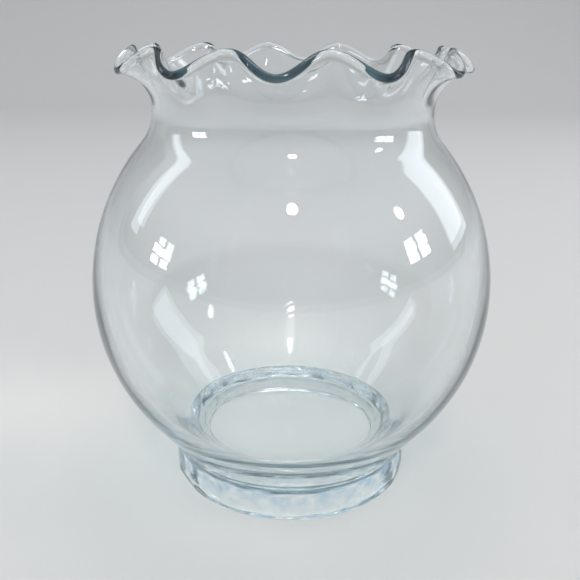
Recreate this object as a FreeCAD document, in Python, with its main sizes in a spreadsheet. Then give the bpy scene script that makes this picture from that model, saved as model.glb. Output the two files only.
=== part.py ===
import FreeCAD, Part
import math
import os

import Sketcher

# Rose bowl vase in clear glass: a blown bowl with a crimped lip, and a foot ring of a second gather.
# Millimetres, +Z up. The foot rests on z = 0, the vase's axis is Z and its front is -Y.

# alias, value, meaning
SIZES = [
    ("underside_height", 8.6, "bowl's outer bottom above the table"),
    ("bowl_depth", 68.4, "from the bowl's widest level down to its outer bottom"),
    ("bowl_radius", 75.0, "outer radius at the widest level"),
    ("upper_height", 63.7, "from the widest level up to the neck"),
    ("neck_radius", 51.6, "outer radius at the narrowest level"),
    ("waist_round", 16.5, "radius of the hollow curve under the neck"),
    ("flank_angle", 39.0, "lean of the outer flank from the axis, degrees"),
    ("bottom_round", 8.0, "radius between the outer flank and bottom"),
    ("neck_wall", 2.4, "wall at the neck"),
    ("bowl_wall", 3.2, "wall at the widest level"),
    ("hollow_rise", 1.6, "height of the hollow's widest level above the bowl's"),
    ("hollow_flank_angle", 46.0, "lean of the inner flank from the axis, degrees"),
    ("heel_round", 14.0, "radius between the inner flank and floor"),
    ("floor_thickness", 5.4, "glass under the flat inner floor"),
    ("flare_length", 23.3, "mean length of the flared wall along the glass, neck to lip"),
    ("flare_angle", 56.8, "mean lean of the lip from the axis, degrees"),
    ("crimp_swing", 23.4, "how far each crimp leans the lip out and back, degrees"),
    ("crimp_draw", 0.7, "extra length of glass drawn up at a crest"),
    ("crimp_count", 12, "crimps round the lip"),
    ("crimp_turn", -4.5, "turn of the first trough from the front, degrees"),
    ("lip_thickness", 3.2, "diameter of the bead that the fire-polished lip ends in"),
    ("bead_length", 7.0, "length of the wall, along the glass, that swells into the bead"),
    ("foot_height", 13.6, "height of the foot ring's outer side"),
    ("foot_overhang", 0.0, "how far the foot stands out past the flank above it"),
    ("foot_width", 6.2, "width of the foot ring at the table"),
    ("foot_edge_round", 2.2, "outer round at the table"),
    ("foot_shoulder_round", 1.0, "outer round under the bowl"),
    ("recess_edge_round", 1.2, "inner round at the table"),
    ("recess_draft", 6.0, "lean of the recess wall from the axis, degrees"),
]

STATIONS_PER_CRIMP = 8
FLARE_LEVELS = 6
LIP_LEVELS = 4
SEWING_GAP = 1e-5

ORIGIN_POINT = (-1, 1)
HORIZONTAL_AXIS, VERTICAL_AXIS = range(-1, -3, -1)
START, END, CENTRE = range(1, 4)

BOWL_LEVEL = "Sizes.underside_height + Sizes.bowl_depth"
NECK_LEVEL = BOWL_LEVEL + " + Sizes.upper_height"

# Where the outer flank passes the foot's height: the foot's side starts there.
FLANK_AT_FOOT = (
    "(Sizes.bowl_radius * cos(Sizes.flank_angle)"
    " - (Sizes.underside_height + Sizes.bowl_depth - Sizes.bowl_radius * sin(Sizes.flank_angle)"
    " - Sizes.foot_height) * tan(Sizes.flank_angle))"
)

FOOT_RADIUS = FLANK_AT_FOOT + " + Sizes.foot_overhang"

# Flat width that the ring rests on, between the rounds of its two edges.
REST_WIDTH = (
    "Sizes.foot_width - Sizes.foot_edge_round"
    " - Sizes.recess_edge_round * tan((90 - Sizes.recess_draft) / 2)"
)

OUTSIDE = {
    "bottom": "Sizes.underside_height",
    "level": BOWL_LEVEL,
    "radius": "Sizes.bowl_radius",
    "neck": "Sizes.neck_radius",
    "waist": "Sizes.waist_round",
    "lean": "Sizes.flank_angle",
    "round": "Sizes.bottom_round",
}

HOLLOW = {
    "bottom": "Sizes.underside_height + Sizes.floor_thickness",
    "level": BOWL_LEVEL + " + Sizes.hollow_rise",
    "radius": "Sizes.bowl_radius - Sizes.bowl_wall",
    "neck": "Sizes.neck_radius - Sizes.neck_wall",
    "waist": "Sizes.waist_round + Sizes.neck_wall",
    "lean": "Sizes.hollow_flank_angle",
    "round": "Sizes.heel_round",
}

doc = FreeCAD.newDocument("RoseBowlVase")


# ---- sizes ----

def make_sheet():
    table = doc.addObject("Spreadsheet::Sheet", "Sizes")
    for row, (alias, value, meaning) in enumerate(SIZES, start=1):
        table.set(f"A{row}", alias)
        table.set(f"B{row}", str(value))
        table.set(f"C{row}", meaning)
        table.setAlias(f"B{row}", alias)
    doc.recompute()
    return table


sheet = make_sheet()


def worth(expression):
    """The value that an expression of the sheet has now."""
    return float(sheet.evalExpression(expression))


# ---- half-sections ----

class HalfSection:
    """A closed sketch on the XZ plane of its own body: x is the radius and y is the height."""

    def __init__(self, body_name):
        self.name = body_name
        self.body = doc.addObject("PartDesign::Body", body_name)
        self.sketch = self.body.newObject("Sketcher::SketchObject", body_name + "Section")
        plane = next(p for p in self.body.Origin.OriginFeatures if p.Role == "XZ_Plane")
        self.sketch.AttachmentSupport = [(plane, "")]
        self.sketch.MapMode = "FlatFace"

    def line(self, start, end):
        segment = Part.LineSegment(FreeCAD.Vector(*start, 0), FreeCAD.Vector(*end, 0))
        return self.sketch.addGeometry(segment, False)

    def arc(self, centre, radius, first, last):
        """A counter-clockwise arc; 0 degrees is outward and 90 is up."""
        circle = Part.Circle(FreeCAD.Vector(*centre, 0), FreeCAD.Vector(0, 0, 1), radius)
        bow = Part.ArcOfCircle(circle, math.radians(first), math.radians(last))
        return self.sketch.addGeometry(bow, False)

    def rule(self, kind, *where):
        return self.sketch.addConstraint(Sketcher.Constraint(kind, *where))

    def drive(self, name, expression, kind, *where):
        """A dimension that follows an expression of the sheet."""
        value = worth(expression)
        if kind == "Angle":
            value = math.radians(value)
        index = self.rule(kind, *where, value)
        self.sketch.renameConstraint(index, name)
        self.sketch.setExpression(f"Constraints.{name}", expression)

    def revolve(self):
        turned = self.body.newObject("PartDesign::Revolution", self.name + "Turned")
        turned.Profile = self.sketch
        turned.ReferenceAxis = (self.sketch, ["V_Axis"])
        turned.Angle = 360
        return self.body


def on_circle(centre, radius, degrees):
    angle = math.radians(degrees)
    return (centre[0] + radius * math.cos(angle), centre[1] + radius * math.sin(angle))


def upper_arc_radius(rise, widest, neck, waist):
    """Radius of the arc that leaves the widest level upright and touches the waist's curve."""
    reach = neck + waist - widest
    return (rise ** 2 + reach ** 2 - waist ** 2) / (2 * (widest - neck))


def make_vessel(body_name, shape):
    """A solid of revolution from bottom to neck: flat bottom, round, straight flank, sphere, upper
    arc and the hollow curve of the waist. The bowl's outside and its hollow are both made so."""
    bottom, level, top = worth(shape["bottom"]), worth(shape["level"]), worth(NECK_LEVEL)
    radius, neck, waist = worth(shape["radius"]), worth(shape["neck"]), worth(shape["waist"])
    lean, turn_radius = worth(shape["lean"]), worth(shape["round"])

    flank_top = on_circle((0, level), radius, -lean)
    corner = flank_top[0] - (flank_top[1] - bottom) * math.tan(math.radians(lean))
    setback = turn_radius * math.tan(math.radians((90 - lean) / 2))
    turn_centre = (corner - setback, bottom + turn_radius)
    upper = upper_arc_radius(top - level, radius, neck, waist)
    upper_centre = (radius - upper, level)
    waist_centre = (neck + waist, top)
    meet = math.degrees(math.atan2(top - level, waist_centre[0] - upper_centre[0]))

    section = HalfSection(body_name)
    floor = section.line((0, bottom), (turn_centre[0], bottom))
    turn = section.arc(turn_centre, turn_radius, -90, -lean)
    flank = section.line(on_circle(turn_centre, turn_radius, -lean), flank_top)
    sphere = section.arc((0, level), radius, -lean, 0)
    shoulder = section.arc(upper_centre, upper, 0, meet)
    hollow = section.arc(waist_centre, waist, 180, 180 + meet)
    lid = section.line((neck, top), (0, top))
    middle = section.line((0, top), (0, bottom))

    section.rule("Horizontal", floor)
    section.rule("Tangent", floor, END, turn, START)
    section.rule("Tangent", turn, END, flank, START)
    section.rule("Tangent", flank, END, sphere, START)
    section.rule("PointOnObject", sphere, CENTRE, VERTICAL_AXIS)
    section.rule("Horizontal", sphere, CENTRE, sphere, END)
    section.rule("Coincident", sphere, END, shoulder, START)
    section.rule("Horizontal", shoulder, CENTRE, shoulder, START)
    section.rule("Tangent", shoulder, END, hollow, END)
    section.rule("Horizontal", hollow, CENTRE, hollow, START)
    section.rule("Coincident", hollow, START, lid, START)
    section.rule("Horizontal", lid)
    section.rule("Coincident", lid, END, middle, START)
    section.rule("PointOnObject", lid, END, VERTICAL_AXIS)
    section.rule("Coincident", middle, END, floor, START)
    section.rule("PointOnObject", floor, START, VERTICAL_AXIS)

    section.drive("bottom", shape["bottom"], "DistanceY", *ORIGIN_POINT, floor, START)
    section.drive("level", shape["level"], "DistanceY", *ORIGIN_POINT, sphere, END)
    section.drive("top", NECK_LEVEL, "DistanceY", *ORIGIN_POINT, hollow, START)
    section.drive("radius", shape["radius"], "DistanceX", *ORIGIN_POINT, sphere, END)
    section.drive("neck", shape["neck"], "DistanceX", *ORIGIN_POINT, hollow, START)
    section.drive("waist", shape["waist"], "Radius", hollow)
    section.drive("round", shape["round"], "Radius", turn)
    section.drive("lean", "90 - " + shape["lean"], "Angle", flank)
    return section.revolve()


def make_foot_blank():
    """The foot ring before the bowl's underside is taken out of its top."""
    outer, top, edge = worth(FOOT_RADIUS), worth("Sizes.foot_height"), worth("Sizes.foot_edge_round")
    shoulder, inner_edge = worth("Sizes.foot_shoulder_round"), worth("Sizes.recess_edge_round")
    draft = worth("Sizes.recess_draft")

    edge_centre = (outer - edge, edge)
    shoulder_centre = (outer - shoulder, top - shoulder)
    inner_centre = (edge_centre[0] - worth(REST_WIDTH), inner_edge)
    wall_foot = on_circle(inner_centre, inner_edge, 180 + draft)
    wall_top = (wall_foot[0] - (top - wall_foot[1]) * math.tan(math.radians(draft)), top)

    section = HalfSection("FootBlank")
    rest = section.line((inner_centre[0], 0), (edge_centre[0], 0))
    outer_turn = section.arc(edge_centre, edge, -90, 0)
    side = section.line((outer, edge), (outer, shoulder_centre[1]))
    shoulder_turn = section.arc(shoulder_centre, shoulder, 0, 90)
    crown = section.line((shoulder_centre[0], top), wall_top)
    recess = section.line(wall_top, wall_foot)
    inner_turn = section.arc(inner_centre, inner_edge, 180 + draft, 270)

    section.rule("PointOnObject", rest, START, HORIZONTAL_AXIS)
    section.rule("Horizontal", rest)
    section.rule("Tangent", rest, END, outer_turn, START)
    section.rule("Tangent", outer_turn, END, side, START)
    section.rule("Vertical", side)
    section.rule("Tangent", side, END, shoulder_turn, START)
    section.rule("Tangent", shoulder_turn, END, crown, START)
    section.rule("Horizontal", crown)
    section.rule("Coincident", crown, END, recess, START)
    section.rule("Tangent", recess, END, inner_turn, START)
    section.rule("Tangent", inner_turn, END, rest, START)

    section.drive("outer", FOOT_RADIUS, "DistanceX", *ORIGIN_POINT, side, START)
    section.drive("top", "Sizes.foot_height", "DistanceY", *ORIGIN_POINT, crown, START)
    section.drive("rest_width", REST_WIDTH, "DistanceX", rest, START, rest, END)
    section.drive("edge", "Sizes.foot_edge_round", "Radius", outer_turn)
    section.drive("shoulder", "Sizes.foot_shoulder_round", "Radius", shoulder_turn)
    section.drive("inner_edge", "Sizes.recess_edge_round", "Radius", inner_turn)
    section.drive("draft", "Sizes.recess_draft - 90", "Angle", recess)
    return section.revolve()


# ---- the crimped flare ----

class CrimpedFlare:
    """The wall above the neck, which opens out and is crimped into even waves at the lip."""

    def __init__(self):
        self.count = int(worth("Sizes.crimp_count"))
        self.first_trough = math.radians(worth("Sizes.crimp_turn"))
        self.mean_lean = worth("Sizes.flare_angle")
        self.swing = worth("Sizes.crimp_swing")
        self.mean_length = worth("Sizes.flare_length")
        self.draw = worth("Sizes.crimp_draw")
        self.neck_wall = worth("Sizes.neck_wall")
        self.lip = worth("Sizes.lip_thickness")
        self.bead_share = worth("Sizes.bead_length") / self.mean_length
        self.neck = worth("Sizes.neck_radius") - self.neck_wall / 2
        self.base = worth(NECK_LEVEL)

    def middle(self, turn, along):
        """Mid-glass point: turn is the angle from the front, along runs from 0 at the neck to 1 at
        the lip. Each half-section is an arc that leaves the neck upright. It leans far out at a
        trough and stands nearly up at a crest."""
        wave = math.cos(self.count * (turn - self.first_trough))
        lean = math.radians(self.mean_lean + self.swing * wave)
        length = self.mean_length - self.draw * wave
        radius = self.neck + length * (1 - math.cos(lean * along)) / lean
        height = self.base + length * math.sin(lean * along) / lean
        return FreeCAD.Vector(radius * math.sin(turn), -radius * math.cos(turn), height)

    def directions(self, turn, along):
        """Unit vectors out of the glass and towards the lip."""
        step = 1e-4
        around = self.middle(turn + step, along) - self.middle(turn - step, along)
        upward = self.middle(turn, along + step) - self.middle(turn, along - step)
        outward = around.cross(upward).normalize()
        return outward, outward.cross(around).normalize()

    def half_thickness(self, along):
        """Even up the flare, then swelling smoothly into the lip's bead."""
        swell = max(0, 1 - (1 - along) / self.bead_share)
        return (self.neck_wall + (self.lip - self.neck_wall) * swell ** 2 * (3 - 2 * swell)) / 2

    def section(self, turn):
        """Points round the glass at one station: up the outside, over the lip and down inside."""
        outside, inside = [], []
        for level in range(FLARE_LEVELS + 1):
            along = level / FLARE_LEVELS
            middle = self.middle(turn, along)
            outward, lipward = self.directions(turn, along)
            half = self.half_thickness(along)
            outside.append(middle + outward * half)
            inside.append(middle - outward * half)
        over = []
        for level in range(1, LIP_LEVELS):
            angle = math.pi * level / LIP_LEVELS
            over.append(middle + (outward * math.cos(angle) + lipward * math.sin(angle)) * half)
        return outside + over + inside[::-1]

    def levels(self):
        """Distance of each point of a section from its first, along the mean section."""
        wall_step = self.mean_length / FLARE_LEVELS
        lip_step = math.pi * self.lip / 2 / LIP_LEVELS
        marks = [0.0]
        for step in [wall_step] * FLARE_LEVELS + [lip_step] * LIP_LEVELS + [wall_step] * FLARE_LEVELS:
            marks.append(marks[-1] + step)
        return marks

    def skin(self):
        """One smooth surface through all the sections, closed round the axis. Rings are drawn through
        the sections level by level, and their poles are then joined upright, from the neck over the
        lip and back down to the neck."""
        stations = self.count * STATIONS_PER_CRIMP
        sections = [self.section(2 * math.pi * station / stations) for station in range(stations)]
        marks = [station / stations for station in range(stations + 1)]
        rings = []
        for points in zip(*sections):
            ring = Part.BSplineCurve()
            ring.interpolate(Points=list(points), Parameters=marks, PeriodicFlag=True)
            rings.append(ring)
        upright = FreeCAD.Vector(0, 0, 1)
        posts = []
        for ring_poles in zip(*(ring.getPoles() for ring in rings)):
            post = Part.BSplineCurve()
            post.interpolate(Points=list(ring_poles), Parameters=self.levels(),
                             InitialTangent=upright, FinalTangent=-upright)
            posts.append(post)
        surface = Part.BSplineSurface()
        surface.buildFromPolesMultsKnots([post.getPoles() for post in posts],
                                         ring.getMultiplicities(), post.getMultiplicities(),
                                         ring.getKnots(), post.getKnots(), True, False, 3, 3)
        return surface.toShape()

    def solid(self):
        """The skin closed by the flat ring at the neck, where the flare grows out of the wall."""
        skin = self.skin()
        rims = [Part.Wire([edge]) for edge in skin.Edges if edge.Closed]
        rims.sort(key=lambda rim: rim.Length, reverse=True)
        shell = Part.makeShell([skin, Part.Face(rims)])
        shell.sewShape(SEWING_GAP)
        return Part.Solid(shell)


# ---- the two pieces of glass ----

def make_bowl(outer_form, hollow_form):
    wall = doc.addObject("Part::Cut", "BlownWall")
    wall.Base = outer_form
    wall.Tool = hollow_form
    flare = doc.addObject("Part::Feature", "Flare")
    flare.Shape = CrimpedFlare().solid()
    bowl = doc.addObject("Part::MultiFuse", "Bowl")
    bowl.Shapes = [wall, flare]
    bowl.Label = "bowl"
    return bowl


def make_foot(outer_form):
    """The foot is pressed onto the bowl's underside, so its top takes that surface exactly."""
    foot = doc.addObject("Part::Cut", "Foot")
    foot.Base = make_foot_blank()
    foot.Tool = outer_form
    foot.Label = "foot"
    return foot


outer_form = make_vessel("OuterForm", OUTSIDE)
hollow_form = make_vessel("HollowForm", HOLLOW)
nodes = [make_bowl(outer_form, hollow_form), make_foot(outer_form)]
doc.recompute()

for item in doc.Objects:
    if "Invalid" in item.State or "Error" in item.State:
        raise RuntimeError(f"{item.Label} failed: {item.State}")

os.makedirs("parts", exist_ok=True)
for node in nodes:
    if node.Shape.isNull() or not node.Shape.isValid() or len(node.Shape.Solids) != 1:
        raise RuntimeError(f"{node.Label} is not one sound solid")
    node.Shape.exportStep(f"parts/{node.Label}.step")
    box = node.Shape.optimalBoundingBox(False)
    print(f"{node.Label}: {node.Shape.Volume / 1000:.1f} cm3, x {box.XMin:.1f} to {box.XMax:.1f},"
          f" z {box.ZMin:.2f} to {box.ZMax:.2f}")
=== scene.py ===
import math
from collections import namedtuple

import bmesh
import bpy
import numpy as np
from mathutils import Matrix, Vector, noise


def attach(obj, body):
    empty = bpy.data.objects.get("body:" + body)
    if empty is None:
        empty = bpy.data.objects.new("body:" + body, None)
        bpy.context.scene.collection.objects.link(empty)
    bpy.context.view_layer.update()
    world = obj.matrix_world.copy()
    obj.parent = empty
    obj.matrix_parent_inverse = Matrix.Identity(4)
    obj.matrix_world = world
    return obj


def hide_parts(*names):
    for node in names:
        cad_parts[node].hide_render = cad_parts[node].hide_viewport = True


# Rose bowl vase in clear glass, metres, +Z up, front at -Y. The two pieces of glass are closed
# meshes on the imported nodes' own curves, but for the lip, and fine enough to bend light evenly.

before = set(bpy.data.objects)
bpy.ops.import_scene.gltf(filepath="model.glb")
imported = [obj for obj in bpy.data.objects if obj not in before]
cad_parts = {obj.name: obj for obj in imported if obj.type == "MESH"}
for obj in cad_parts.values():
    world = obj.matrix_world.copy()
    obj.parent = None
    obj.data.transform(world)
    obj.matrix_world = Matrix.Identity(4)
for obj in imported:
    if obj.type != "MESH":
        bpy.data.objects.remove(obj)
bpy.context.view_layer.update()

MM = 0.001

# ---- driving sizes of the vase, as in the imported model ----
UNDERSIDE = 8.6 * MM
BOWL_DEPTH = 68.4 * MM
BOWL_RADIUS = 75.0 * MM
UPPER_HEIGHT = 63.7 * MM
NECK_RADIUS = 51.6 * MM
WAIST_ROUND = 16.5 * MM
FLANK_ANGLE = 39.0
BOTTOM_ROUND = 8.0 * MM
NECK_WALL = 2.4 * MM
BOWL_WALL = 3.2 * MM
HOLLOW_RISE = 1.6 * MM
HOLLOW_FLANK_ANGLE = 46.0
HEEL_ROUND = 14.0 * MM
FLOOR_THICKNESS = 5.4 * MM
FLARE_LENGTH = 23.3 * MM
FLARE_ANGLE = 56.8
CRIMP_SWING = 23.4
CRIMP_DRAW = 0.7 * MM
CRIMP_COUNT = 12
CRIMP_TURN = -4.5
FOOT_HEIGHT = 13.6 * MM
FOOT_WIDTH = 6.2 * MM
FOOT_EDGE_ROUND = 2.2 * MM
FOOT_SHOULDER_ROUND = 1.0 * MM
RECESS_EDGE_ROUND = 1.2 * MM
RECESS_DRAFT = 6.0

# ---- the lip: a thinner wall and a slimmer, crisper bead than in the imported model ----
RIM_WALL = 2.0 * MM
LIP_THICKNESS = 2.7 * MM
BEAD_LENGTH = 1.9 * MM

BOWL_LEVEL = UNDERSIDE + BOWL_DEPTH
NECK_LEVEL = BOWL_LEVEL + UPPER_HEIGHT

# ---- mesh density ----
AROUND = CRIMP_COUNT * 28
WALL_STEP = 2.0 * MM
ROUND_STEP = 0.5 * MM
FOOT_STEP = 0.8 * MM
FLARE_LEVELS = 20
BEAD_LEVELS = 10
LIP_LEVELS = 14

# The two glasses meet across this gap, whose faces let light straight through, as fused glass does.
SEAM_GAP = 0.02 * MM

# ---- unevenness of hand-finished glass ----
WALL_RIPPLE = 0.05 * MM
WALL_RIPPLE_SIZE = 30.0 * MM
WALL_RIPPLE_SEED = 3.7
CALM_HEIGHT = 14.0 * MM
RIPPLE_FADE = 12.0 * MM
FOOT_LUMP = 0.8 * MM
FOOT_LUMP_SIZE = 7.0 * MM
FOOT_LUMP_SEED = 8.1
FOOT_LUMPS_TOP = UNDERSIDE + 4.0 * MM
LUMP_FADE_AT_TABLE = 2.0 * MM
LUMP_FADE_AT_TOP = 3.0 * MM

# ---- camera, from the photograph ----
IMAGE_SIDE = 580
FOCAL_PIXELS = 742
OPTICAL_CENTRE_ROW = 200
CAMERA_PLACE = (-0.75 * MM, -275.3 * MM, 170.5 * MM)
CAMERA_PITCH = 13.01
CAMERA_ROLL = 0.46
SENSOR_WIDTH = 36.0
NEAREST_SEEN = 10.0 * MM


# ---- half-sections ----

def on_circle(centre, radius, degrees):
    angle = math.radians(degrees)
    return (centre[0] + radius * math.cos(angle), centre[1] + radius * math.sin(angle))


def angle_at(centre, point):
    return math.degrees(math.atan2(point[1] - centre[1], point[0] - centre[0]))


def line_meets_circle(start, end, centre, radius):
    """Where a line, followed from start towards end, leaves a circle."""
    along = np.subtract(end, start) / math.dist(start, end)
    to_centre = np.subtract(centre, start)
    nearest = float(along @ to_centre)
    half_chord = math.sqrt(radius ** 2 - float(to_centre @ to_centre) + nearest ** 2)
    return tuple(float(value) for value in np.add(start, along * (nearest + half_chord)))


class Outline:
    """Points of a half-section as (radius, height), evenly spaced along its lines and arcs."""

    def __init__(self, start):
        self.points = [start]

    def line(self, end, step):
        start = self.points[-1]
        count = max(1, round(math.dist(start, end) / step))
        for index in range(1, count + 1):
            self.points.append(tuple(np.add(start, np.subtract(end, start) * (index / count))))

    def arc(self, centre, radius, first, last, step):
        count = max(2, round(radius * abs(math.radians(last - first)) / step))
        for index in range(1, count + 1):
            self.points.append(on_circle(centre, radius, first + (last - first) * index / count))

    def here(self):
        return len(self.points) - 1


class VesselShape:
    """The curves from the bottom up to the neck, for the bowl's outside or for its hollow."""

    def __init__(self, bottom, level, radius, neck, waist, lean, turn_radius):
        self.bottom, self.level, self.radius = bottom, level, radius
        self.waist, self.lean = waist, lean
        self.flank_top = on_circle((0, level), radius, -lean)
        rise = self.flank_top[1] - bottom
        corner = self.flank_top[0] - rise * math.tan(math.radians(lean))
        setback = turn_radius * math.tan(math.radians((90 - lean) / 2))
        self.turn_centre = (corner - setback, bottom + turn_radius)
        self.flank_foot = on_circle(self.turn_centre, turn_radius, -lean)
        # The shoulder's arc is upright at the widest level, and runs smoothly into the waist's.
        reach = neck + waist - radius
        height = NECK_LEVEL - level
        self.shoulder = (height ** 2 + reach ** 2 - waist ** 2) / (2 * (radius - neck))
        self.shoulder_centre = (radius - self.shoulder, level)
        self.waist_centre = (neck + waist, NECK_LEVEL)
        self.meet = angle_at(self.shoulder_centre, self.waist_centre)

    def above_flank(self, outline):
        outline.arc((0, self.level), self.radius, -self.lean, 0, WALL_STEP)
        outline.arc(self.shoulder_centre, self.shoulder, 0, self.meet, WALL_STEP)
        outline.arc(self.waist_centre, self.waist, 180 + self.meet, 180, WALL_STEP)


OUTSIDE = VesselShape(UNDERSIDE, BOWL_LEVEL, BOWL_RADIUS, NECK_RADIUS, WAIST_ROUND,
                      FLANK_ANGLE, BOTTOM_ROUND)
HOLLOW = VesselShape(UNDERSIDE + FLOOR_THICKNESS, BOWL_LEVEL + HOLLOW_RISE,
                     BOWL_RADIUS - BOWL_WALL, NECK_RADIUS - NECK_WALL,
                     WAIST_ROUND + NECK_WALL, HOLLOW_FLANK_ANGLE, HEEL_ROUND)


class FootShape:
    """The foot ring's curves, and the two points where its top leaves the bowl's underside."""

    def __init__(self):
        flank_rise = OUTSIDE.flank_top[1] - FOOT_HEIGHT
        self.radius = OUTSIDE.flank_top[0] - flank_rise * math.tan(math.radians(FLANK_ANGLE))
        self.edge_centre = (self.radius - FOOT_EDGE_ROUND, FOOT_EDGE_ROUND)
        self.shoulder_centre = (self.radius - FOOT_SHOULDER_ROUND,
                                FOOT_HEIGHT - FOOT_SHOULDER_ROUND)
        inner_reach = RECESS_EDGE_ROUND * math.tan(math.radians((90 - RECESS_DRAFT) / 2))
        rest_width = FOOT_WIDTH - FOOT_EDGE_ROUND - inner_reach
        self.inner_centre = (self.edge_centre[0] - rest_width, RECESS_EDGE_ROUND)
        wall_foot = on_circle(self.inner_centre, RECESS_EDGE_ROUND, 180 + RECESS_DRAFT)
        wall_rise = FOOT_HEIGHT - wall_foot[1]
        wall_top = (wall_foot[0] - wall_rise * math.tan(math.radians(RECESS_DRAFT)), FOOT_HEIGHT)
        # The recess wall runs up into the bowl's bottom round, and the shoulder into its flank.
        self.inner_seam = line_meets_circle(wall_top, wall_foot,
                                            OUTSIDE.turn_centre, BOTTOM_ROUND)
        self.outer_seam = line_meets_circle(OUTSIDE.flank_foot, OUTSIDE.flank_top,
                                            self.shoulder_centre, FOOT_SHOULDER_ROUND)


FOOT = FootShape()


def seam_outline(outline, first_angle):
    """The stretch of the bowl's underside that the foot is fused to, from the recess outward."""
    outline.arc(OUTSIDE.turn_centre, BOTTOM_ROUND, first_angle, -FLANK_ANGLE, ROUND_STEP)
    outline.line(FOOT.outer_seam, FOOT_STEP)


# ---- the crimped flare ----

def flare_middle(turn, along):
    """Mid-glass points of the flare: turn is the angle from the front, along 0 at the neck to 1 at
    the lip. Each half-section is an arc that leans far out at a trough and is nearly up at a crest."""
    wave = np.cos(CRIMP_COUNT * (turn - math.radians(CRIMP_TURN)))
    lean = np.radians(FLARE_ANGLE + CRIMP_SWING * wave)
    length = FLARE_LENGTH - CRIMP_DRAW * wave
    radius = NECK_RADIUS - NECK_WALL / 2 + length * (1 - np.cos(lean * along)) / lean
    height = NECK_LEVEL + length * np.sin(lean * along) / lean
    return np.stack([radius * np.sin(turn), -radius * np.cos(turn), height], axis=-1)


def lip_half(along):
    """Half the glass's thickness: it thins up the flare, then swells smoothly into the bead."""
    wall = NECK_WALL + (RIM_WALL - NECK_WALL) * along
    swell = max(0, 1 - (1 - along) * FLARE_LENGTH / BEAD_LENGTH)
    return (wall + (LIP_THICKNESS - wall) * swell * swell * (3 - 2 * swell)) / 2


def unit(vectors):
    return vectors / np.linalg.norm(vectors, axis=-1, keepdims=True)


# The flare's slopes are taken between points this much to either side, in turn and in along.
SLOPE_REACH = 1e-4


def flare_directions(turn, along):
    """Unit vectors out of the glass and towards the lip."""
    around = flare_middle(turn + SLOPE_REACH, along) - flare_middle(turn - SLOPE_REACH, along)
    upward = flare_middle(turn, along + SLOPE_REACH) - flare_middle(turn, along - SLOPE_REACH)
    outward = unit(np.cross(around, upward))
    return outward, unit(np.cross(outward, around))


def flare_rings(turn):
    """Rings of points up the outside of the flare, over the lip and down inside, from and to the
    neck, which they leave out."""
    outside, inside = [], []
    bead_start = 1 - BEAD_LENGTH / FLARE_LENGTH
    levels = np.append(np.linspace(0, bead_start, FLARE_LEVELS, endpoint=False),
                       np.linspace(bead_start, 1, BEAD_LEVELS + 1))
    for along in levels:
        middle = flare_middle(turn, along)
        outward, lipward = flare_directions(turn, along)
        half = lip_half(along)
        outside.append(middle + outward * half)
        inside.append(middle - outward * half)
    # The last level's points and directions carry the round of the lip.
    over = []
    for level in range(1, LIP_LEVELS):
        angle = math.pi * level / LIP_LEVELS
        over.append(middle + (outward * math.cos(angle) + lipward * math.sin(angle)) * half)
    return outside[1:] + over + inside[:0:-1]


# ---- meshes ----

def ring_of(point, turn):
    radius, height = point
    return np.stack([radius * np.sin(turn), -radius * np.cos(turn),
                     np.full_like(turn, height)], axis=-1)


def make_turned_mesh(name, rings, closed_section, marks):
    """A mesh round the axis from rings of AROUND points. An open section starts and ends at a
    point on the axis. Each of the marks is an attribute that is 1 on the faces of its rows."""
    first, last = (0, len(rings)) if closed_section else (1, len(rings) - 1)
    body = rings[first:last]
    vertices = [tuple(point) for ring in body for point in ring]
    following = np.roll(np.arange(AROUND), -1)
    faces, face_rows = [], []

    def band(lower, upper, row):
        for here, there in enumerate(following):
            faces.append((lower + here, lower + int(there), upper + int(there), upper + here))
            face_rows.append(row)

    for row in range(len(body) - 1):
        band(row * AROUND, (row + 1) * AROUND, first + row)
    if closed_section:
        band((len(body) - 1) * AROUND, 0, len(body) - 1)
    else:
        bottom, top = len(vertices), len(vertices) + 1
        vertices += [tuple(rings[0].mean(axis=0)), tuple(rings[-1].mean(axis=0))]
        upper = (len(body) - 1) * AROUND
        for here, there in enumerate(following):
            faces.append((bottom, int(there), here))
            faces.append((top, upper + here, upper + int(there)))
            face_rows += [0, len(body)]

    mesh = bpy.data.meshes.new(name)
    mesh.from_pydata(vertices, [], faces)
    # Light enters and leaves the glass by the side that its faces turn to.
    shape = bmesh.new()
    shape.from_mesh(mesh)
    bmesh.ops.recalc_face_normals(shape, faces=shape.faces)
    shape.to_mesh(mesh)
    shape.free()
    mesh.shade_smooth()
    for mark, rows in marks.items():
        attribute = mesh.attributes.new(mark, "FLOAT", "FACE")
        attribute.data.foreach_set("value", [float(row in rows) for row in face_rows])
    piece = bpy.data.objects.new(name, mesh)
    bpy.context.scene.collection.objects.link(piece)
    return piece


def ripple(points, size, seed):
    """Smooth noise between about -1 and 1 at each point, in lumps of about this size."""
    shift = Vector((seed, 2 * seed, 3 * seed))
    return np.array([noise.noise(Vector(point) / size + shift) for point in points])


def uneven(rings, rows, depth, size, seed):
    """Moves the points of some rings out of and into the glass, along the section's own normal."""
    original = [ring.copy() for ring in rings]
    for row in rows:
        along = original[(row + 1) % len(rings)] - original[row - 1]
        around = np.roll(original[row], -1, axis=0) - np.roll(original[row], 1, axis=0)
        normal = unit(np.cross(around, along))
        rings[row] += normal * (depth(original[row]) * ripple(original[row], size, seed))[:, None]


TURN = np.arange(AROUND) * (2 * math.pi / AROUND)


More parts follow.
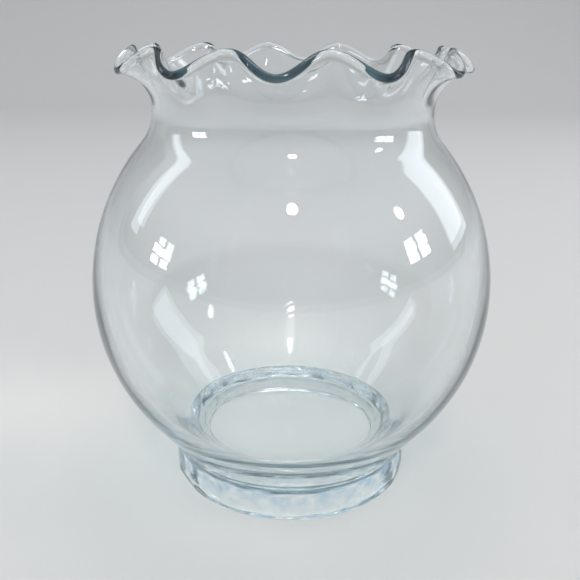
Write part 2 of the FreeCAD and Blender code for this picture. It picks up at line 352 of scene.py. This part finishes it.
def make_bowl():
    outline = Outline((0.0, UNDERSIDE))
    outline.line((OUTSIDE.turn_centre[0], UNDERSIDE), WALL_STEP)
    seam_angle = angle_at(OUTSIDE.turn_centre, FOOT.inner_seam)
    outline.arc(OUTSIDE.turn_centre, BOTTOM_ROUND, -90, seam_angle, ROUND_STEP)
    seam_start = outline.here()
    seam_outline(outline, seam_angle)
    seam_end = outline.here()
    outline.line(OUTSIDE.flank_top, WALL_STEP)
    OUTSIDE.above_flank(outline)

    hollow = Outline((0.0, HOLLOW.bottom))
    hollow.line((HOLLOW.turn_centre[0], HOLLOW.bottom), WALL_STEP)
    hollow.arc(HOLLOW.turn_centre, HEEL_ROUND, -90, -HOLLOW_FLANK_ANGLE, ROUND_STEP)
    hollow.line(HOLLOW.flank_top, WALL_STEP)
    HOLLOW.above_flank(hollow)

    rings = [ring_of(point, TURN) for point in outline.points]
    rings += flare_rings(TURN)
    rings += [ring_of(point, TURN) for point in reversed(hollow.points)]

    def calm_below(points):
        rise = np.clip((points[:, 2] - CALM_HEIGHT) / RIPPLE_FADE, 0, 1)
        return WALL_RIPPLE * rise

    uneven(rings, range(1, len(rings) - 1), calm_below, WALL_RIPPLE_SIZE, WALL_RIPPLE_SEED)
    return make_turned_mesh("bowl_glass", rings, False, {"seam": range(seam_start, seam_end)})


def make_foot():
    start = FOOT.inner_seam
    outline = Outline(start)
    seam_outline(outline, angle_at(OUTSIDE.turn_centre, start))
    seam_end = outline.here()
    gap = [(radius, height - SEAM_GAP) for radius, height in outline.points]
    outline.points = gap
    shoulder_angle = angle_at(FOOT.shoulder_centre, FOOT.outer_seam)
    outline.arc(FOOT.shoulder_centre, FOOT_SHOULDER_ROUND, shoulder_angle, 0, ROUND_STEP)
    side_start = outline.here()
    outline.line((FOOT.radius, FOOT_EDGE_ROUND), FOOT_STEP)
    side_end = outline.here()
    outline.arc(FOOT.edge_centre, FOOT_EDGE_ROUND, 0, -90, ROUND_STEP)
    outline.line((FOOT.inner_centre[0], 0.0), FOOT_STEP)
    outline.arc(FOOT.inner_centre, RECESS_EDGE_ROUND, 270, 180 + RECESS_DRAFT, ROUND_STEP)
    outline.line(gap[0], FOOT_STEP)
    # The section is closed, so its last point is its first.
    outline.points.pop()

    rings = [ring_of(point, TURN) for point in outline.points]

    def lumpy(points):
        """Full depth between the seam and the table, fading to none at both."""
        above_table = np.clip(points[:, 2] / LUMP_FADE_AT_TABLE, 0, 1)
        below_top = np.clip((FOOT_LUMPS_TOP - points[:, 2]) / LUMP_FADE_AT_TOP, 0, 1)
        return FOOT_LUMP * above_table * below_top

    uneven(rings, range(seam_end + 1, len(rings)), lumpy, FOOT_LUMP_SIZE, FOOT_LUMP_SEED)
    # The side's faces take the clouding, whose upward rise is painted light.
    return make_turned_mesh("foot_glass", rings, True,
                            {"seam": range(seam_end), "cloudy_and_painted_light": range(side_start, side_end)})


# ---- materials ----

WHITE = (1.0, 1.0, 1.0)


class Nodes:
    """The node tree of a material or of the world, with short calls for what they share."""

    def __init__(self, owner):
        owner.use_nodes = True
        self.tree = owner.node_tree

    def add(self, kind):
        return self.tree.nodes.new(kind)

    def named(self, name):
        return self.tree.nodes[name]

    def link(self, source, target):
        self.tree.links.new(source, target)

    def place(self, kind="Object"):
        return self.add("ShaderNodeTexCoord").outputs[kind]

    def height(self, place):
        parts = self.add("ShaderNodeSeparateXYZ")
        self.link(place, parts.inputs["Vector"])
        return parts.outputs["Z"]

    def cloud(self, place, size, detail):
        """Noise between 0 and 1, in lumps of about this size."""
        texture = self.add("ShaderNodeTexNoise")
        texture.inputs["Scale"].default_value = 1 / size
        texture.inputs["Detail"].default_value = detail
        self.link(place, texture.inputs["Vector"])
        return texture.outputs["Fac"]

    def mapped(self, value, reach, result):
        """The value, with reach's two ends moved to result's and nothing beyond them."""
        node = self.add("ShaderNodeMapRange")
        for name, number in zip(("From Min", "From Max", "To Min", "To Max"), (*reach, *result)):
            node.inputs[name].default_value = number
        self.link(value, node.inputs["Value"])
        return node.outputs["Result"]

    def combined(self, operation, first, second):
        node = self.add("ShaderNodeMath")
        node.operation = operation
        self.link(first, node.inputs[0])
        self.link(second, node.inputs[1])
        return node.outputs["Value"]

    def coloured(self, amount, first, last, positions=(0.0, 1.0)):
        """A colour that turns from first to last as the amount passes between the positions."""
        node = self.add("ShaderNodeValToRGB")
        for element, colour, position in zip(node.color_ramp.elements, (first, last), positions):
            element.position = position
            element.color = (*colour, 1.0)
        self.link(amount, node.inputs["Fac"])
        return node.outputs["Color"]

    def mark(self, name):
        """One of the attributes that make_turned_mesh gives to faces."""
        node = self.add("ShaderNodeAttribute")
        node.attribute_name = name
        return node.outputs["Fac"]

    def mixed(self, amount, first, second):
        node = self.add("ShaderNodeMixShader")
        self.link(amount, node.inputs["Fac"])
        self.link(first, node.inputs[1])
        self.link(second, node.inputs[2])
        return node.outputs["Shader"]


# ---- glass ----

# Light that enters a rim runs far inside the wall before it leaves.
GLASS_BOUNCES = 96
GLASS_INDEX = 1.52
ABSORPTION_COLOUR = (0.36, 0.53, 0.57)
ABSORPTION_DENSITY = 16.0

# What a lamp sends through a wall that it meets face on or edge on.
FACE_ON_SHADE = (0.99, 0.995, 0.995)
EDGE_ON_SHADE = (0.72, 0.76, 0.77)
EDGE_BLEND = 0.35

# Where the smears' noise begins to dull and to tint the glass, and where it has done so fully.
DULLING_REACH = (0.4, 0.75)
TINTING_REACH = (0.35, 0.75)
SMEAR_DETAIL = 5.0
GRAIN_DETAIL = 2.0

# The foot's side clouds over between these heights, and is nearly clear below.
# This rise is painted light: a bluer top standing in for window light seen through the recess.
PAINTED_LIGHT_HEIGHT = (3.0 * MM, 9.5 * MM)
PAINTED_LIGHT_VEIL = (0.2, 1.0)
PATCH_REACH = (0.35, 0.65)
PATCH_VEIL = (0.05, 1.0)
PATCH_DETAIL = 8.0

# Smears are marks of wiping or of the mould, and the grain is a fine swell of the surface.
# Clouding dulls and tints the faces of the foot's side. Its patches are the foot's own mottle, its
# blue-grey is partly painted shade, and its rise towards the top is painted light. Above a quarter,
# a denoised render gives its patches hard edges.
Finish = namedtuple("Finish", "smear_size smear_roughness tint grain_size grain_depth clouding")
BOWL_FINISH = Finish(smear_size=40 * MM, smear_roughness=0.03, tint=(0.965, 0.98, 0.985),
                     grain_size=12 * MM, grain_depth=0.004 * MM, clouding=0.0)
# The foot's blue-grey tint is partly its clouded glass and partly painted shade.
FOOT_FINISH = Finish(smear_size=4.5 * MM, smear_roughness=0.025, tint=(0.40, 0.60, 0.80),
                     grain_size=4.5 * MM, grain_depth=0.12 * MM, clouding=0.24)


def clouded_patches_and_painted_light(nodes, place, size):
    """From 0 to 1 on the foot's side: mottled patches, thickened upward as painted light."""
    patches = nodes.mapped(nodes.cloud(place, size, PATCH_DETAIL), PATCH_REACH, PATCH_VEIL)
    # Painted light: the clouding thickens upward, so the side's top turns bluer.
    upward = nodes.mapped(nodes.height(place), PAINTED_LIGHT_HEIGHT, PAINTED_LIGHT_VEIL)
    return nodes.combined("MULTIPLY", nodes.combined("MULTIPLY", patches, upward),
                          nodes.mark("cloudy_and_painted_light"))


def polished_surface(nodes, finish):
    """The glass as the camera sees it, before what lamps and the seam make of it."""
    place = nodes.place()
    smears = nodes.cloud(place, finish.smear_size, SMEAR_DETAIL)
    roughness = nodes.mapped(smears, DULLING_REACH, (0.0, finish.smear_roughness))
    tinting = nodes.mapped(smears, TINTING_REACH, (0.0, 1.0))

    swell = nodes.add("ShaderNodeBump")
    swell.inputs["Strength"].default_value = 1.0
    swell.inputs["Distance"].default_value = finish.grain_depth
    nodes.link(nodes.cloud(place, finish.grain_size, GRAIN_DETAIL), swell.inputs["Height"])

    glass = nodes.add("ShaderNodeBsdfPrincipled")
    glass.inputs["Transmission Weight"].default_value = 1.0
    glass.inputs["IOR"].default_value = GLASS_INDEX
    if finish.clouding > 0:
        # On the foot, the tint follows the clouding: mottle with painted shade, and painted light at
        # the top.
        tinting = clouded_patches_and_painted_light(nodes, place, finish.smear_size)
        clearness = nodes.mapped(tinting, (0.0, 1.0), (1.0, 1.0 - finish.clouding))
        haze = nodes.mapped(tinting, (0.0, 1.0), (0.0, finish.clouding))
        nodes.link(clearness, glass.inputs["Transmission Weight"])
        roughness = nodes.combined("ADD", roughness, haze)
    nodes.link(nodes.coloured(tinting, WHITE, finish.tint), glass.inputs["Base Color"])
    nodes.link(roughness, glass.inputs["Roughness"])
    nodes.link(swell.outputs["Normal"], glass.inputs["Normal"])
    return glass.outputs["BSDF"]


def lamplight_through(nodes):
    """What a lamp's own rays meet: clear glass that dims them where its wall is edge on."""
    edge_on = nodes.add("ShaderNodeLayerWeight")
    edge_on.inputs["Blend"].default_value = EDGE_BLEND
    shade = nodes.coloured(edge_on.outputs["Facing"], FACE_ON_SHADE, EDGE_ON_SHADE)
    through = nodes.add("ShaderNodeBsdfTransparent")
    nodes.link(shade, through.inputs["Color"])
    return through.outputs["BSDF"]


def clear_glass(name, finish):
    """Soda-lime glass, faintly blue-green through its thickness."""
    material = bpy.data.materials.new(name)
    nodes = Nodes(material)
    nodes.tree.nodes.clear()

    surface = polished_surface(nodes, finish)
    shadow_ray = nodes.add("ShaderNodeLightPath").outputs["Is Shadow Ray"]
    surface = nodes.mixed(shadow_ray, surface, lamplight_through(nodes))
    # Nothing is seen where the foot is fused to the bowl.
    nothing = nodes.add("ShaderNodeBsdfTransparent").outputs["BSDF"]
    surface = nodes.mixed(nodes.mark("seam"), surface, nothing)

    body = nodes.add("ShaderNodeVolumeAbsorption")
    body.inputs["Color"].default_value = (*ABSORPTION_COLOUR, 1.0)
    body.inputs["Density"].default_value = ABSORPTION_DENSITY

    output = nodes.add("ShaderNodeOutputMaterial")
    nodes.link(surface, output.inputs["Surface"])
    nodes.link(body.outputs["Volume"], output.inputs["Volume"])
    return material


# ---- studio ----

FLOOR_COLOUR = (0.60, 0.585, 0.56)
FLOOR_ROUGHNESS = 0.9
FLOOR_GLOSS = 0.1
MOTTLE_SIZE = 1 / 30
MOTTLE_DETAIL = 2.0
MOTTLE_DARKENING = 0.985
FLOOR_DROP = 0.2 * MM
FLOOR_FRONT = -2.0
BACKDROP_PLACE = 2.2
BACKDROP_CURVE = 0.9
BACKDROP_CURVE_STEP = 5
BACKDROP_HEIGHT = 2.6
BACKDROP_HALF_WIDTH = 4.0

DAYLIGHT = (0.86, 0.94, 1.0)
LAMPLIGHT = (1.0, 0.97, 0.92)

# The windows and lamps face this point. Their azimuths are 0 at the front and 90 on the right.
LAMP_TARGET = Vector((0.0, 0.0, 90.0 * MM))

WINDOW_DISTANCE = 1.6
WINDOW_RADIANCE = 18.0
WINDOW_PANES = (2, 2)
PANE_SHARE = 0.76

# name, azimuth, elevation, size
WINDOWS = [
    ("window_left", -76, 9.5, (0.38, 0.24)),
    ("window_right", 75, 13.5, (0.48, 0.24)),
]

# name, azimuth, elevation, distance, size, radiance, colour, shape
LAMPS = [
    ("strip_left", -102, 26, 1.5, (0.22, 0.9), 2.6, DAYLIGHT, "RECTANGLE"),
    ("strip_right", 110, 21, 1.5, (0.55, 0.95), 2.4, DAYLIGHT, "RECTANGLE"),
    ("ceiling_lamp", 0, 46.5, 1.6, (0.15, 0.15), 60.0, LAMPLIGHT, "DISK"),
    ("side_lamp", 73, 30, 1.6, (0.13, 0.13), 40.0, LAMPLIGHT, "DISK"),
]

OVERHEAD_PLACE = (0.1, 0.3, 2.2)
OVERHEAD_FACING = Vector((-0.05, -0.13, -1))
OVERHEAD_SIZE = (0.9, 0.7)
OVERHEAD_RADIANCE = 4.0

# The surroundings brighten from the horizon up between these sines of the elevation.
HORIZON_REACH = (0.08, 0.5)
HORIZON_COLOUR = (0.10, 0.115, 0.13)
SKY_COLOUR = (0.78, 0.83, 0.90)


def matte(name, colour):
    """A pale painted surface with a faint mottle."""
    material = bpy.data.materials.new(name)
    nodes = Nodes(material)
    surface = nodes.named("Principled BSDF")
    surface.inputs["Roughness"].default_value = FLOOR_ROUGHNESS
    surface.inputs["Specular IOR Level"].default_value = FLOOR_GLOSS
    mottle = nodes.cloud(nodes.place(), MOTTLE_SIZE, MOTTLE_DETAIL)
    darker = [value * MOTTLE_DARKENING for value in colour]
    nodes.link(nodes.coloured(mottle, darker, colour), surface.inputs["Base Color"])
    return material


def make_sweep():
    """One pale sheet: a floor that curves up into a backdrop."""
    section = [(FLOOR_FRONT, -FLOOR_DROP), (BACKDROP_PLACE - BACKDROP_CURVE, -FLOOR_DROP)]
    centre = (BACKDROP_PLACE - BACKDROP_CURVE, BACKDROP_CURVE - FLOOR_DROP)
    turn = range(BACKDROP_CURVE_STEP - 90, 1, BACKDROP_CURVE_STEP)
    section += [on_circle(centre, BACKDROP_CURVE, angle) for angle in turn]
    section.append((BACKDROP_PLACE, BACKDROP_HEIGHT))
    vertices = []
    for depth, height in section:
        vertices += [(-BACKDROP_HALF_WIDTH, depth, height), (BACKDROP_HALF_WIDTH, depth, height)]
    faces = [(2 * i, 2 * i + 1, 2 * i + 3, 2 * i + 2) for i in range(len(section) - 1)]
    mesh = bpy.data.meshes.new("floor")
    mesh.from_pydata(vertices, [], faces)
    mesh.shade_smooth()
    mesh.materials.append(matte("pale_paint", FLOOR_COLOUR))
    floor = bpy.data.objects.new("floor", mesh)
    bpy.context.scene.collection.objects.link(floor)


def direction(azimuth, elevation):
    """Unit vector from the vase towards a lamp."""
    across, up = math.radians(azimuth), math.radians(elevation)
    return Vector((math.sin(across) * math.cos(up), -math.cos(across) * math.cos(up), math.sin(up)))


def add_lamp(name, place, facing, size, radiance, colour, shape="RECTANGLE"):
    lamp = bpy.data.lights.new(name, "AREA")
    lamp.shape = shape
    lamp.size, lamp.size_y = size
    lamp.energy = radiance * math.pi * size[0] * size[1]
    lamp.color = colour
    holder = bpy.data.objects.new(name, lamp)
    bpy.context.scene.collection.objects.link(holder)
    holder.location = place
    holder.rotation_euler = facing.to_track_quat("-Z", "Y").to_euler()


def add_window(name, azimuth, elevation, size):
    """A softbox divided by thin bars into panes, whose reflection reads as a window."""
    out = direction(azimuth, elevation)
    across = Vector((0, 0, 1)).cross(out).normalized()
    up = out.cross(across)
    columns, rows = WINDOW_PANES
    pitch = (size[0] / columns, size[1] / rows)
    pane = (pitch[0] * PANE_SHARE, pitch[1] * PANE_SHARE)
    for column in range(columns):
        for row in range(rows):
            shift_across = (column - (columns - 1) / 2) * pitch[0]
            shift_up = (row - (rows - 1) / 2) * pitch[1]
            place = LAMP_TARGET + out * WINDOW_DISTANCE + across * shift_across + up * shift_up
            add_lamp(f"{name}_{column}{row}", place, -out, pane, WINDOW_RADIANCE, DAYLIGHT)


def light_studio():
    for window in WINDOWS:
        add_window(*window)
    for name, azimuth, elevation, distance, size, radiance, colour, shape in LAMPS:
        out = direction(azimuth, elevation)
        add_lamp(name, LAMP_TARGET + out * distance, -out, size, radiance, colour, shape)
    add_lamp("overhead", OVERHEAD_PLACE, OVERHEAD_FACING, OVERHEAD_SIZE, OVERHEAD_RADIANCE, WHITE)


def make_surroundings():
    """What the glass reflects and shows beyond the lamps and the sweep."""
    world = bpy.data.worlds.new("studio")
    bpy.context.scene.world = world
    nodes = Nodes(world)
    rise = nodes.height(nodes.place("Generated"))
    surroundings = nodes.named("Background")
    nodes.link(nodes.coloured(rise, HORIZON_COLOUR, SKY_COLOUR, HORIZON_REACH),
               surroundings.inputs["Color"])
    surroundings.inputs["Strength"].default_value = 1.0


def make_camera():
    lens = bpy.data.cameras.new("camera")
    lens.sensor_width = SENSOR_WIDTH
    lens.lens = FOCAL_PIXELS / IMAGE_SIDE * SENSOR_WIDTH
    lens.shift_y = (OPTICAL_CENTRE_ROW - IMAGE_SIDE / 2) / IMAGE_SIDE
    lens.clip_start = NEAREST_SEEN
    camera = bpy.data.objects.new("camera", lens)
    camera.matrix_world = (Matrix.Translation(CAMERA_PLACE)
                           @ Matrix.Rotation(math.radians(90 - CAMERA_PITCH), 4, "X")
                           @ Matrix.Rotation(math.radians(CAMERA_ROLL), 4, "Z"))
    bpy.context.scene.collection.objects.link(camera)
    bpy.context.scene.camera = camera


# ---- the scene ----

def place_glass(piece, node, finish):
    piece.data.materials.append(clear_glass(node + "_clear_glass", finish))
    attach(piece, "root")
    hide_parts(node)


place_glass(make_bowl(), "bowl", BOWL_FINISH)
place_glass(make_foot(), "foot", FOOT_FINISH)
make_sweep()
light_studio()
make_surroundings()
make_camera()

settings = bpy.context.scene
settings.view_settings.view_transform = "Standard"
settings.cycles.max_bounces = GLASS_BOUNCES
settings.cycles.glossy_bounces = GLASS_BOUNCES
settings.cycles.transmission_bounces = GLASS_BOUNCES
settings.cycles.transparent_max_bounces = GLASS_BOUNCES
